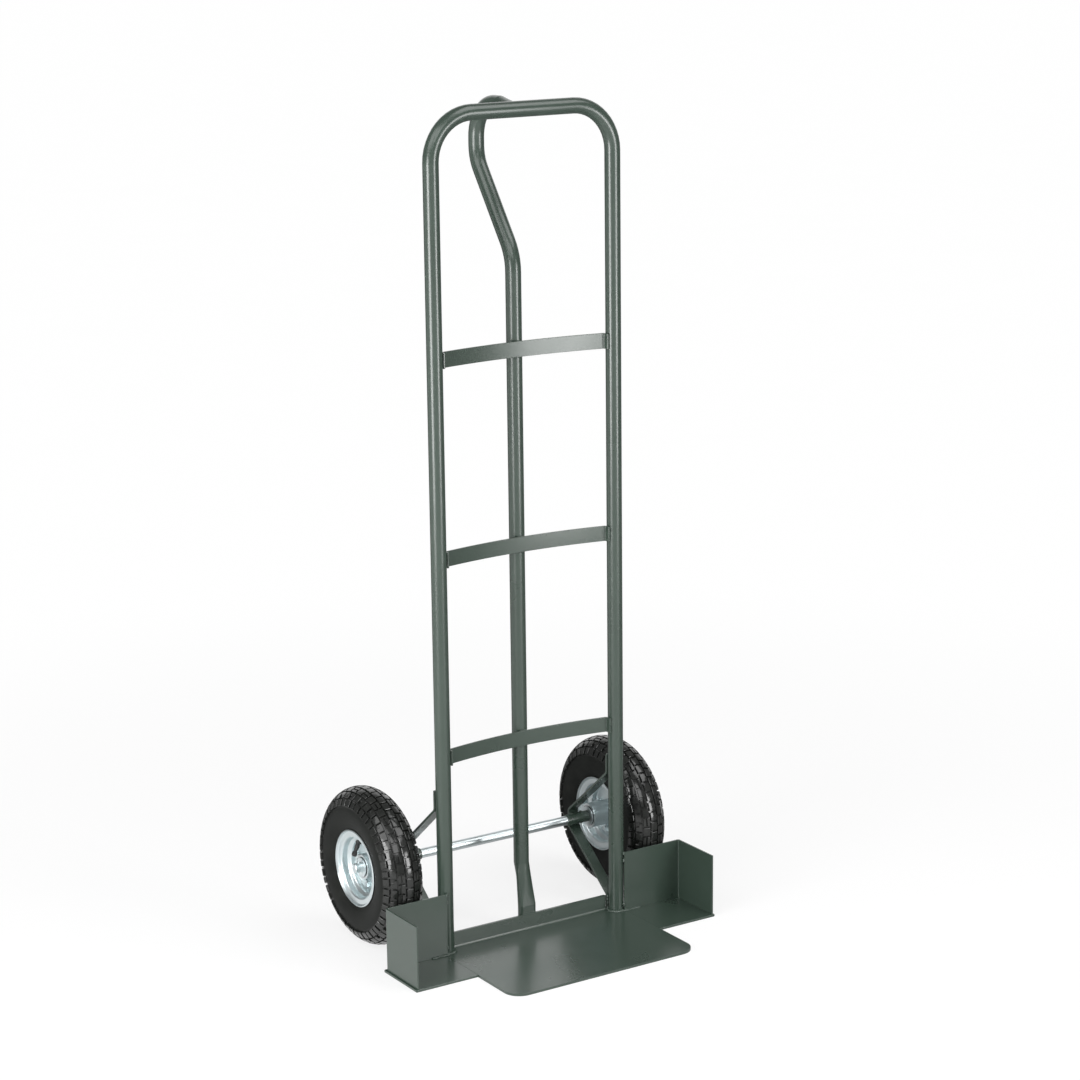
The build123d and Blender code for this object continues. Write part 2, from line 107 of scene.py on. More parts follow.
def pick(piece, kind, test):
    # selects the vertices, edges or faces that pass the test
    bpy.ops.mesh.select_mode(type=kind)
    bpy.ops.mesh.select_all(action="DESELECT")
    mesh = bmesh.from_edit_mesh(piece.data)
    parts = {"VERT": mesh.verts, "EDGE": mesh.edges, "FACE": mesh.faces}[kind]
    for part in parts:
        if test(part):
            part.select_set(True)
    mesh.select_flush_mode()
    bmesh.update_edit_mesh(piece.data)


def copyPiece(piece, name):
    twin = piece.copy()
    twin.data = piece.data.copy()
    nameIt(twin, name)
    bpy.context.collection.objects.link(twin)
    return twin


def mirrorPiece(piece, name):
    # the other side's copy, across X = 0, with its faces turned outwards again
    twin = copyPiece(piece, name)
    twin.data.transform(Matrix.Scale(-1, 4, (1, 0, 0)))
    twin.data.flip_normals()
    return twin


def finishPiece(piece, material, body, smoothAngle=35):
    makeActive(piece)
    if smoothAngle:
        bpy.ops.object.shade_smooth_by_angle(angle=radians(smoothAngle))
    piece.data.materials.clear()
    piece.data.materials.append(materials[material])
    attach(piece, body)


# shader nodes: a wrapped socket takes sums and products, and one method adds any other node

class Socket:
    def __init__(self, tree, end):
        self.tree = tree
        self.end = end

    def __add__(self, other):
        return self.tree.maths("ADD", self, other)

    def __radd__(self, other):
        return self.tree.maths("ADD", other, self)

    def __sub__(self, other):
        return self.tree.maths("SUBTRACT", self, other)

    def __rsub__(self, other):
        return self.tree.maths("SUBTRACT", other, self)

    def __mul__(self, other):
        return self.tree.maths("MULTIPLY", self, other)


class Tree:
    def __init__(self, nodeTree):
        self.nodes = nodeTree.nodes
        self.links = nodeTree.links
        self.nodes.clear()

    def node(self, kind, settings={}, inputs={}, output=0):
        made = self.nodes.new(kind)
        for key, value in settings.items():
            if key == "stops":
                self.setStops(made.color_ramp, value)
            else:
                setattr(made, key, value)
        for key, value in inputs.items():
            if isinstance(value, Socket):
                self.links.new(value.end, made.inputs[key])
            else:
                made.inputs[key].default_value = value
        return Socket(self, made.outputs[output])

    def setStops(self, ramp, stops):
        while len(ramp.elements) < len(stops):
            ramp.elements.new(0.5)    # it moves to its own place below
        for element, (place, shade) in zip(ramp.elements, stops):
            element.position = place
            element.color = (shade, shade, shade, 1)

    def maths(self, operation, first, second):
        return self.node("ShaderNodeMath", {"operation": operation}, {0: first, 1: second})

    def place(self):
        return self.node("ShaderNodeTexCoord", {}, {}, "Object")

    def noise(self, scale, detail=3.0, roughness=0.5, stretch=(1, 1, 1)):
        vector = self.node("ShaderNodeMapping", {}, {"Vector": self.place(), "Scale": stretch})
        return self.node("ShaderNodeTexNoise", {}, {"Vector": vector, "Scale": scale, "Detail": detail,
                                                    "Roughness": roughness})

    def ramp(self, value, stops):
        return self.node("ShaderNodeValToRGB", {"stops": stops}, {0: value})

    def spots(self, stops, **noise):
        # noise turned into spots: none below the first stop, full above the last
        return self.ramp(self.noise(**noise), stops)

    def mixColour(self, factor, first, second):
        # the mix node's colours go in at sockets 6 and 7 and come out at 2
        return self.node("ShaderNodeMix", {"data_type": "RGBA"}, {0: factor, 6: first, 7: second}, 2)

    def bump(self, height, distance, over=None):
        inputs = {"Height": height, "Distance": distance}
        if over:
            inputs["Normal"] = over
        return self.node("ShaderNodeBump", {}, inputs)

    def output(self, kind, shader):
        made = self.nodes.new(kind)
        self.links.new(shader.end, made.inputs["Surface"])


def newMaterial(name):
    material = bpy.data.materials.new(name)
    material.use_nodes = True
    return material, Tree(material.node_tree)


def enamelMaterial():
    # glossy grey-green paint: faint orange peel, uneven gloss, dust specks and a few hair scratches
    look = {"paint": (0.030, 0.047, 0.036, 1), "worn": (0.084, 0.112, 0.095, 1),
            "roughness": 0.26, "ior": 1.55, "coat": 0.2, "coatRoughness": 0.14,
            "patches": {"scale": 9, "detail": 4, "stops": ((0.35, 0), (0.7, 1))},
            "specks": {"scale": 1400, "detail": 2, "stops": ((0.68, 0), (0.76, 1))},
            "scratches": {"scale": 900, "detail": 1, "stops": ((0.735, 0), (0.75, 1))},
            "scratchStretch": 0.012,
            "scratchedAreas": {"scale": 14, "detail": 2, "stops": ((0.5, 0), (0.62, 1))},
            "haze": {"scale": 60, "detail": 2}, "peel": {"scale": 300, "detail": 2}, "peelDepth": 0.000004,
            # how far each one wears the colour and dulls the gloss
            "patchWear": 0.10, "speckWear": 0.08, "scratchWear": 0.07,
            "patchDull": 0.05, "hazeDull": 0.02, "scratchDull": 0.015}
    material, tree = newMaterial("greyGreenEnamel")
    patches = tree.spots(**look["patches"])
    specks = tree.spots(**look["specks"])
    upright = tree.spots(**look["scratches"], stretch=(1, 1, look["scratchStretch"]))
    level = tree.spots(**look["scratches"], stretch=(look["scratchStretch"], 1, 1))
    scratches = (upright + level) * tree.spots(**look["scratchedAreas"])
    wear = patches * look["patchWear"] + specks * look["speckWear"] + scratches * look["scratchWear"]
    colour = tree.mixColour(wear, look["paint"], look["worn"])
    haze = tree.noise(**look["haze"]) * look["hazeDull"]
    roughness = look["roughness"] + patches * look["patchDull"] + haze + scratches * look["scratchDull"]
    normal = tree.bump(tree.noise(**look["peel"]), look["peelDepth"])
    shader = tree.node("ShaderNodeBsdfPrincipled", {}, {
        "Base Color": colour, "Roughness": roughness, "Normal": normal, "Coat Weight": look["coat"],
        "Coat Roughness": look["coatRoughness"], "IOR": look["ior"]})
    tree.output("ShaderNodeOutputMaterial", shader)
    return material


def zincMaterial():
    # bright zinc plate, faintly blue, with soft clouds and fine drawn lines
    look = {"bright": (0.70, 0.76, 0.77, 1), "dull": (0.60, 0.67, 0.69, 1),
            "roughness": 0.30, "metallic": 1.0,
            "clouds": {"scale": 30, "detail": 3, "stops": ((0.3, 0), (0.75, 1))},
            "lines": {"scale": 900, "detail": 2, "stretch": (0.04, 1, 1)}, "lineDepth": 0.000003,
            "cloudShade": 0.6, "cloudDull": 0.05, "lineDull": 0.06}
    material, tree = newMaterial("zincPlate")
    clouds = tree.spots(**look["clouds"])
    lines = tree.noise(**look["lines"])
    colour = tree.mixColour(clouds * look["cloudShade"], look["bright"], look["dull"])
    roughness = look["roughness"] + clouds * look["cloudDull"] + lines * look["lineDull"]
    normal = tree.bump(lines, look["lineDepth"])
    shader = tree.node("ShaderNodeBsdfPrincipled", {}, {
        "Base Color": colour, "Metallic": look["metallic"], "Roughness": roughness, "Normal": normal})
    tree.output("ShaderNodeOutputMaterial", shader)
    return material


def tyreMaterial():
    # black rubber: matt and a little dusty on the sidewall, with a moulded gloss over the tread
    look = {"rubber": (0.007, 0.008, 0.007, 1), "dusty": (0.019, 0.020, 0.018, 1), "axle": (0, 0.118, 0.130),
            "dust": {"scale": 38, "detail": 5, "roughness": 0.6, "stops": ((0.45, 0), (0.75, 1))},
            "dustShade": 0.7, "roughness": 0.5, "dustDull": 0.15, "specular": 0.12,
            "glossFrom": 0.098, "glossTo": 0.108, "gloss": 1.0, "dustedGloss": 0.4, "glossRoughness": 0.13,
            "grain": {"scale": 700, "detail": 3}, "grainDepth": 0.00005,
            # moulded rings run round the sidewall next to the rim, and one stands alone further out
            "rings": ((0.068, 0), (0.0685, 1), (0.070, 1), (0.0705, 0), (0.072, 0), (0.0725, 1), (0.0735, 1),
                      (0.074, 0), (0.0915, 0), (0.092, 1), (0.093, 1), (0.0935, 0)), "ringDepth": 0.0004}
    material, tree = newMaterial("tyreRubber")
    dust = tree.spots(**look["dust"])
    colour = tree.mixColour(dust * look["dustShade"], look["rubber"], look["dusty"])
    # how far a point is from the axle's line
    away = tree.node("ShaderNodeVectorMath", {"operation": "SUBTRACT"}, {0: tree.place(), 1: look["axle"]})
    away = tree.node("ShaderNodeVectorMath", {"operation": "MULTIPLY"}, {0: away, 1: (0, 1, 1)})
    radius = tree.node("ShaderNodeVectorMath", {"operation": "LENGTH"}, {0: away}, "Value")
    tread = tree.node("ShaderNodeMapRange", {"interpolation_type": "SMOOTHSTEP"}, {
        "Value": radius, "From Min": look["glossFrom"], "From Max": look["glossTo"]})
    rings = tree.bump(tree.ramp(radius, look["rings"]), look["ringDepth"])
    normal = tree.bump(tree.noise(**look["grain"]), look["grainDepth"], rings)
    shader = tree.node("ShaderNodeBsdfPrincipled", {}, {
        "Base Color": colour, "Roughness": look["roughness"] + dust * look["dustDull"], "Normal": normal,
        "Specular IOR Level": look["specular"], "Coat Roughness": look["glossRoughness"],
        "Coat Weight": tread * look["gloss"] * (1.0 - dust * look["dustedGloss"])})
    tree.output("ShaderNodeOutputMaterial", shader)
    return material


def rubberMaterial():
    # plain matt rubber of the valves and inner tubes
    look = {"rubber": (0.016, 0.016, 0.016, 1), "dusty": (0.05, 0.05, 0.048, 1),
            "dust": {"scale": 260, "detail": 4, "stops": ((0.4, 0), (0.8, 1))},
            "dustShade": 0.4, "roughness": 0.5, "dustDull": 0.2,
            "grain": {"scale": 1500, "detail": 2}, "grainDepth": 0.00004}
    material, tree = newMaterial("valveRubber")
    dust = tree.spots(**look["dust"])
    colour = tree.mixColour(dust * look["dustShade"], look["rubber"], look["dusty"])
    shader = tree.node("ShaderNodeBsdfPrincipled", {}, {
        "Base Color": colour, "Roughness": look["roughness"] + dust * look["dustDull"],
        "Normal": tree.bump(tree.noise(**look["grain"]), look["grainDepth"])})
    tree.output("ShaderNodeOutputMaterial", shader)
    return material


def bearingMaterial():
    # ground bearing steel with a film of oil
    look = {"steel": (0.55, 0.55, 0.56, 1), "stained": (0.30, 0.28, 0.25, 1), "metallic": 1.0,
            "stain": {"scale": 180, "detail": 4, "stops": ((0.5, 0), (0.8, 1))},
            "roughness": 0.18, "stainDull": 0.15,
            "grain": {"scale": 2200, "detail": 1}, "grainDepth": 0.00001}
    material, tree = newMaterial("bearingSteel")
    stain = tree.spots(**look["stain"])
    shader = tree.node("ShaderNodeBsdfPrincipled", {}, {
        "Base Color": tree.mixColour(stain, look["steel"], look["stained"]), "Metallic": look["metallic"],
        "Roughness": look["roughness"] + stain * look["stainDull"],
        "Normal": tree.bump(tree.noise(**look["grain"]), look["grainDepth"])})
    tree.output("ShaderNodeOutputMaterial", shader)
    return material


materials = {"enamel": enamelMaterial(), "zinc": zincMaterial(), "tyre_rubber": tyreMaterial(),
             "black_rubber": rubberMaterial(), "bearing_steel": bearingMaterial()}
slotOfNode = {part["node"]: part["material_slot"] for part in frame["record"]["subparts"]}
for name, node in nodes.items():
    node.data.materials.clear()
    node.data.materials.append(materials[slotOfNode[name]])
print("materials ready")


# tyres: the section is drawn point by point and turned through one pitch of the tread, blocks are raised
# on it, and the pitch is repeated all round the axle

tyreLook = {"centre": (0.2354, 0.118, 0.130), "sectionRadius": 0.0915, "crownRise": 0.0349,
            "halfWidth": 0.0345, "footHalfWidth": 0.0290, "footRadius": 0.0660, "sideSteps": 9,
            "beadOuter": (0.0242, 0.0560), "beadSeat": (0.0216, 0.0518), "beadInner": (0.0131, 0.0518),
            "cavityFoot": (0.0156, 0.0660), "cavitySide": (0.0313, 0.0915), "cavityTop": (0.0, 0.1210),
            "pitches": 24, "blockHeight": 0.0036, "chamfer": 0.0006, "seed": 0.002, "sharpAngle": 50,
            # shares of the crown and of one pitch within which a face counts as lying on them
            "crownShare": 0.99, "endShare": 0.001, "mergeWithin": 0.00002,
            # degrees from the middle of the tread, and shares of one pitch, where a block may begin or end
            "columns": (0, 4.5, 9, 12, 16, 20, 22, 26, 30, 33, 37.25, 41.5, 45.75, 50, 53, 57.75, 62.5,
                        67.25, 72),
            "shares": (0, 0.04, 0.12, 0.21, 0.29, 0.375, 0.46, 0.54, 0.63, 0.71, 0.79, 0.875, 0.96, 1),
            # how far each block reaches across, in those degrees, and along, in those shares
            "blocks": ((-9, 9, 0.04, 0.46), (-9, 9, 0.54, 0.96), (12, 20, 0.29, 0.71), (22, 30, 0.29, 0.71),
                       (12, 30, 0.79, 1), (12, 30, 0, 0.21), (33, 50, 0.04, 0.29), (33, 41.5, 0.29, 0.46),
                       (33, 50, 0.54, 0.96), (53, 72, 0.12, 0.54), (53, 72, 0.63, 0.96))}
pitchAngle = 2 * pi / tyreLook["pitches"]


def crownPoint(turn):
    # point of the rounded tread at some degrees from its middle, as (across, radius)
    look = tyreLook
    across = look["halfWidth"] * sin(radians(turn))
    return across, look["sectionRadius"] + look["crownRise"] * cos(radians(turn))


def sidePoint(share):
    # point of the sidewall, from the tread's edge (0) round the widest place to the foot (1)
    look = tyreLook
    shoulder = crownPoint(look["columns"][-1])[1]
    radius = shoulder + share * (look["footRadius"] - shoulder)
    if radius > look["sectionRadius"]:
        rise = (radius - look["sectionRadius"]) / look["crownRise"]
        return look["halfWidth"] * sqrt(1 - rise ** 2), radius
    drop = (look["sectionRadius"] - radius) / (look["sectionRadius"] - look["footRadius"])
    return look["halfWidth"] - (look["halfWidth"] - look["footHalfWidth"]) * drop ** 2, radius


def tyreSection():
    # from the cavity's top round one side and over the tread to the other side, as (across, radius)
    look = tyreLook
    half = [crownPoint(turn) for turn in look["columns"]]
    half += [sidePoint((step + 1) / look["sideSteps"]) for step in range(look["sideSteps"])]
    half += [look[key] for key in ("beadOuter", "beadSeat", "beadInner", "cavityFoot", "cavitySide")]
    return [look["cavityTop"]] + [(-across, radius) for across, radius in reversed(half[1:])] + half


def wheelPolar(point):
    # a point as distance across the wheel, radius, and pitches turned from the top
    away = point - Vector(tyreLook["centre"])
    return away.x, hypot(away.y, away.z), abs(atan2(away.y, away.z)) / pitchAngle


def inBlock(face):
    across, radius, share = wheelPolar(face.calc_center_median())
    wide = across / tyreLook["halfWidth"]
    high = (radius - tyreLook["sectionRadius"]) / tyreLook["crownRise"]
    turn = degrees(atan2(wide, high))
    onCrown = hypot(wide, high) > tyreLook["crownShare"]
    return onCrown and any((left < turn < right or left < -turn < right) and near < share < far
                           for left, right, near, far in tyreLook["blocks"])


def onPitchEnd(face):
    shares = [wheelPolar(vert.co)[2] for vert in face.verts]
    return max(shares) < tyreLook["endShare"] or min(shares) > 1 - tyreLook["endShare"]


def isSharpOutside(edge):
    onTread = all(wheelPolar(vert.co)[1] > tyreLook["sectionRadius"] for vert in edge.verts)
    return onTread and edge.calc_face_angle_signed(0) > radians(tyreLook["sharpAngle"])


def drawSection(centre, section, seed):
    # a small plane is merged to one point at the section's start, and that point is extruded along it
    start = centre + Vector((section[0][0], 0, section[0][1]))
    bpy.ops.mesh.primitive_plane_add(size=seed, location=start)
    bpy.ops.object.transform_apply(location=True)
    piece = startPiece("section")
    bpy.ops.mesh.select_all(action="SELECT")
    bpy.ops.mesh.merge(type="CENTER")
    for here, there in zip(section, section[1:]):
        step = (there[0] - here[0], 0, there[1] - here[1])
        bpy.ops.mesh.extrude_vertices_move(TRANSFORM_OT_translate={"value": step})
    return piece


def makeTyre():
    look = tyreLook
    centre = Vector(look["centre"])
    piece = drawSection(centre, tyreSection(), look["seed"])
    pick(piece, "VERT", lambda vert: len(vert.link_edges) == 1)
    bpy.ops.mesh.edge_face_add()
    bpy.ops.mesh.select_all(action="SELECT")
    for near, far in zip(look["shares"], look["shares"][1:]):
        bpy.ops.mesh.spin(steps=1, angle=pitchAngle * (far - near), center=centre, axis=(1, 0, 0))
    bpy.ops.mesh.select_all(action="SELECT")
    bpy.ops.mesh.normals_make_consistent(inside=False)
    pick(piece, "FACE", inBlock)
    bpy.ops.mesh.extrude_region_shrink_fatten(TRANSFORM_OT_shrink_fatten={"value": look["blockHeight"]})
    pick(piece, "FACE", onPitchEnd)    # blocks that run into the next pitch lose their end walls
    bpy.ops.mesh.delete(type="ONLY_FACE")
    bpy.ops.mesh.select_mode(type="VERT")
    bpy.ops.mesh.select_all(action="SELECT")
    bpy.ops.mesh.delete_loose()
    bpy.ops.mesh.select_all(action="SELECT")
    bpy.ops.mesh.spin(steps=look["pitches"] - 1, dupli=True, angle=2 * pi - pitchAngle, center=centre,
                      axis=(1, 0, 0))
    bpy.ops.mesh.select_all(action="SELECT")
    bpy.ops.mesh.remove_doubles(threshold=look["mergeWithin"])
    bpy.ops.mesh.normals_make_consistent(inside=False)
    pick(piece, "EDGE", isSharpOutside)
    bpy.ops.mesh.bevel(offset=look["chamfer"], segments=1)
    return closePiece(piece, "rightTyre")


rightTyre = makeTyre()
leftTyre = mirrorPiece(rightTyre, "leftTyre")
for tyre, side in ((rightTyre, "right"), (leftTyre, "left")):
    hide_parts(side + "_tyre")
    finishPiece(tyre, "tyre_rubber", side + "_wheel")
print("tyres made")


# plates and bars: copies of the CAD nodes with whole faces and rounded edges, which catch a line of light

plateLook = {"mergeWithin": 0.000002, "flatAngle": 0.2, "sharpAngle": 30, "segments": 2,
             "edges": {"toe_plate": 0.0007, "wing_plate": 0.0007, "guard": 0.0003, "lower_strap": 0.0006,
                       "middle_strap": 0.0006, "upper_strap": 0.0006, "axle_bracket": 0.0008,
                       "axle_sleeve": 0.0004, "inner_washers": 0.0003, "outer_washers": 0.0003,
                       "hub_barrel": 0.0004, "rim_nuts": 0.0003, "rim_bolts": 0.0003}}


def roundedCopy(nodeName, edge):
    look = plateLook
    piece = bpy.data.objects.new(nodeName + ".rounded", nodes[nodeName].data.copy())
    bpy.context.collection.objects.link(piece)
    makeActive(piece)
    bpy.ops.mesh.customdata_custom_splitnormals_clear()
    bpy.ops.object.mode_set(mode="EDIT")
    bpy.ops.mesh.select_all(action="SELECT")
    bpy.ops.mesh.remove_doubles(threshold=look["mergeWithin"])
    bpy.ops.mesh.dissolve_limited(angle_limit=radians(look["flatAngle"]))
    bpy.ops.object.mode_set(mode="OBJECT")
    bpy.ops.object.shade_smooth_by_angle(angle=radians(look["sharpAngle"]))
    bevel = piece.modifiers.new("edges", "BEVEL")
    bevel.width = edge
    bevel.segments = look["segments"]
    bevel.limit_method = "ANGLE"
    bevel.angle_limit = radians(look["sharpAngle"])
    piece.modifiers.new("shading", "WEIGHTED_NORMAL")
    closePiece(piece, nodeName + ".rounded")
    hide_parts(nodeName)
    finishPiece(piece, slotOfNode[nodeName], nodes[nodeName]["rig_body"], None)


for nodeName in nodes:
    edge = plateLook["edges"].get(nodeName.replace("left_", "").replace("right_", ""))
    if edge:
        roundedCopy(nodeName, edge)
print("plates rounded")


# welds: each bead is a row of overlapping ripples, laid along a line or an arc

weldLook = {"spacing": 0.0012, "width": 0.0016, "length": 0.0011, "height": 0.0012, "lean": 24,
            "uneven": 0.18, "segments": 10, "rings": 6, "smoothAngle": 60, "randomStart": 7}
weldRandom = random.Random(weldLook["randomStart"])


def makeRipple():
    # a flattened ball leaning back along the bead, which runs along its X
    look = weldLook
    bpy.ops.mesh.primitive_uv_sphere_add(segments=look["segments"], ring_count=look["rings"], radius=1)
    piece = startPiece("ripple")
    bpy.ops.mesh.select_all(action="SELECT")
    bpy.ops.transform.resize(value=(look["length"], look["width"], look["height"]))
    bpy.ops.transform.rotate(value=radians(look["lean"]), orient_axis="Y", center_override=(0, 0, 0))
    return closePiece(piece, "ripple")


def alongLine(start, end):
    start, end = Vector(start), Vector(end)
    count = max(2, round((end - start).length / weldLook["spacing"]) + 1)
    return [start.lerp(end, step / (count - 1)) for step in range(count)]


def acrossLine(left, right, y, z):
    return alongLine((left, y, z), (right, y, z))


def upLine(x, y, low, high):
    return alongLine((x, y, low), (x, y, high))


def alongArc(centre, radius, near=0, far=360, axis="Z"):
    # degrees run from X towards Y about Z, and from Y towards Z about X
    count = max(2, round(radians(far - near) * radius / weldLook["spacing"]) + 1)
    places = []
    for step in range(count):
        turn = radians(near + (far - near) * step / (count - 1))
        away = (cos(turn), sin(turn), 0) if axis == "Z" else (0, cos(turn), sin(turn))
        places.append(Vector(centre) + radius * Vector(away))
    return places


def layBeads(name, paths):
    # one ripple a place, turned along its path, a little uneven, all joined into one piece
    ripple = makeRipple()
    laid = []
    for path, size in paths:
        for here, before in zip(path[1:], path):
            grown = size * (1 + weldRandom.uniform(-1, 1) * weldLook["uneven"])
            turn = (here - before).to_track_quat("X", "Z").to_matrix().to_4x4()
            twin = copyPiece(ripple, "bead")
            twin.data.transform(Matrix.Translation((here + before) / 2) @ turn @ Matrix.Scale(grown, 4))
            laid.append(twin)
    bpy.data.objects.remove(ripple)
    deselectAll()
    for twin in laid:
        twin.select_set(True)
    bpy.context.view_layer.objects.active = laid[0]
    bpy.ops.object.join()
    return closePiece(laid[0], name)


# where each bead lies from the edge that it follows, and its size against one plain ripple
seamLook = {"footLift": 0.0006, "footOut": 0.0012, "footSize": 2.0,
            "guardFoot": (0.006, 0.036), "sheetSetback": 0.0032, "guardFootSize": 1.6,
            "flangeIn": 0.0105, "flangeDrop": 0.002, "flangeSize": 2.5,
            "gapIn": 0.0020, "gapBehind": 0.0008, "gapDrop": 0.001, "gapSize": 1.0,
            "tackDrops": (0.002, 0.014), "tackRise": 0.012, "tackOut": 0.0008, "tackHalf": 0.002,
            "tackSize": 1.6,
            "strapSides": (0.0002, 0.0032), "strapEnd": 0.001, "strapSize": 0.8,
            "bracketOut": 0.0012, "bracketSize": 1.3,
            "sleeveEnd": 0.0003, "sleeveOut": 0.0004, "sleeveTurn": 95, "sleeveSize": 1.0,
            "handleInset": 0.0035, "topRises": (0.0068, -0.0068), "topOut": 0.0006, "topSize": 1.4,
            "heelOut": 0.0002, "heelSize": 1.1, "crossHalf": 0.006, "crossSize": 1.0}
straps = ("lower_strap", "middle_strap", "upper_strap")


def sideWelds():
    # the right side's beads: post foot, guard, flange end, strap ends, bracket and sleeve
    look = seamLook
    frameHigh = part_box("main_frame_tube")[1]
    tube = frameHigh.y    # the posts stand at Y = 0, so this is their radius
    post = frameHigh.x - tube
    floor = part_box("right_wing_plate")[1].z
    guardLow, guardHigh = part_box("right_guard")
    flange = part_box("toe_plate")[1]
    bracketLow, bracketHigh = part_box("right_axle_bracket")
    sleeveLow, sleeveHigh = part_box("right_axle_sleeve")
    axle = (sleeveLow + sleeveHigh) / 2
    sleeve = (sleeveHigh.z - sleeveLow.z) / 2
    foot = floor + look["footLift"]
    sheet = guardHigh.y - look["sheetSetback"]
    near, far = (post + reach for reach in look["guardFoot"])
    inside = post - look["flangeIn"]
    paths = [(alongArc((post, 0, foot), tube + look["footOut"]), look["footSize"]),
             (acrossLine(near, far, sheet, foot), look["guardFootSize"]),
             (upLine(inside, flange.y, floor, flange.z - look["flangeDrop"]), look["flangeSize"])]
    # a bead behind the guard's inner edge closes the gap to the post, and short tacks hold it in front
    edge, behind = guardLow.x + look["gapIn"], guardHigh.y + look["gapBehind"]
    paths.append((upLine(edge, behind, floor, guardHigh.z - look["gapDrop"]), look["gapSize"]))
    edge, front = guardLow.x - look["tackOut"], guardHigh.y - look["tackOut"]
    heights = [guardHigh.z - drop for drop in look["tackDrops"]] + [floor + look["tackRise"]]
    for height in heights:
        tack = upLine(edge, front, height - look["tackHalf"], height + look["tackHalf"])
        paths.append((tack, look["tackSize"]))
    for strap in straps:
        low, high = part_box(strap)
        for side in look["strapSides"]:
            bead = upLine(high.x, low.y + side, low.z + look["strapEnd"], high.z - look["strapEnd"])
            paths.append((bead, look["strapSize"]))
    rear = tube + look["bracketOut"]
    for height in (bracketLow.z, bracketHigh.z):
        paths.append((acrossLine(bracketLow.x, bracketHigh.x, rear, height), look["bracketSize"]))
    turn = look["sleeveTurn"]
    for edge in (bracketLow.x - look["sleeveEnd"], bracketHigh.x + look["sleeveEnd"]):
        arc = alongArc((edge, axle.y, axle.z), sleeve + look["sleeveOut"], -turn, turn, "X")
        paths.append((arc, look["sleeveSize"]))
    return paths


def middleWelds():
    # the handle tube's beads: at the top bar, at the flange and at each strap
    look = seamLook
    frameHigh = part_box("main_frame_tube")[1]
    barRadius = frameHigh.y
    barHeight = frameHigh.z - barRadius
    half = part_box("handle_tube")[1].x - look["handleInset"]
    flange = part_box("toe_plate")[1]
    paths = []
    for rise in look["topRises"]:
        rear = sqrt(barRadius ** 2 - rise ** 2) + look["topOut"]
        paths.append((acrossLine(-half, half, rear, barHeight + rise), look["topSize"]))
    paths.append((acrossLine(-half, half, flange.y + look["heelOut"], flange.z), look["heelSize"]))
    for strap in straps:
        low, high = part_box(strap)
        for height in (low.z, high.z):
            bead = acrossLine(-look["crossHalf"], look["crossHalf"], high.y, height)
            paths.append((bead, look["crossSize"]))
    return paths


rightWelds = layBeads("rightWelds", sideWelds())
leftWelds = mirrorPiece(rightWelds, "leftWelds")
middleBeads = layBeads("middleWelds", middleWelds())
for beads in (rightWelds, leftWelds, middleBeads):
    finishPiece(beads, "enamel", "frame", weldLook["smoothAngle"])
print("welds laid")


# split pins: one wire goes up a leg, round the eye and down the other leg

pinLook = {"place": (0.2578, 0.118), "bottom": 0.1200, "top": 0.1402, "wire": 0.00092, "legGap": 0.00095,
           "eyeRadius": 0.0028, "eyeSteps": 14, "wireSides": 10, "mergeWithin": 0.00001}


def makeSplitPin():
    look = pinLook
    across, middle = look["place"]
    near = middle - look["legGap"]
    bpy.ops.mesh.primitive_circle_add(vertices=look["wireSides"], radius=look["wire"],
                                      location=(across, near, look["bottom"]))
    bpy.ops.object.transform_apply(location=True)
    piece = startPiece("splitPin")
    bpy.ops.mesh.select_all(action="SELECT")
    bpy.ops.mesh.extrude_region_move(TRANSFORM_OT_translate={"value": (0, 0, look["top"] - look["bottom"])})
    neck = asin(look["legGap"] / look["eyeRadius"])
    eye = (across, middle, look["top"] + look["eyeRadius"] * cos(neck))
    bpy.ops.mesh.spin(steps=look["eyeSteps"], angle=-(2 * pi - 2 * neck), center=eye, axis=(1, 0, 0))
    bpy.ops.mesh.extrude_region_move(TRANSFORM_OT_translate={"value": (0, 0, look["bottom"] - look["top"])})
    bpy.ops.mesh.select_all(action="SELECT")
    bpy.ops.mesh.remove_doubles(threshold=look["mergeWithin"])
    bpy.ops.mesh.normals_make_consistent(inside=False)
    return closePiece(piece, "rightSplitPin")


rightPin = makeSplitPin()
leftPin = mirrorPiece(rightPin, "leftSplitPin")
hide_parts("split_pins")
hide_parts("split_pins")
for pin in (rightPin, leftPin):
    finishPiece(pin, "zinc", "frame")
print("split pins made")


# valves: a rubber stem with a thick foot and two rings, and a ribbed cap

valveLook = {"root": (0.2419, 0.14209, 0.16440), "lean": (0.0125, -0.009177, -0.013106), "vertices": 24,
             # each ring: how far along the stem, and its radius
             "stem": ((-0.002, 0.0052), (0.0022, 0.0052), (0.0036, 0.0040), (0.0085, 0.0037),
                      (0.0092, 0.0040), (0.0104, 0.0040), (0.0111, 0.0036), (0.0150, 0.0034),
                      (0.0160, 0.0029), (0.0206, 0.0029)),
             "cap": ((0.0203, 0.0031), (0.0204, 0.0039), (0.0208, 0.0042), (0.0260, 0.0042),
                     (0.0269, 0.0036), (0.0273, 0.0024)),
             "ribWidth": 0.0005, "ribInset": 0.0002, "ribDepth": 0.0002, "sideTilt": 0.1, "smoothAngle": 40}


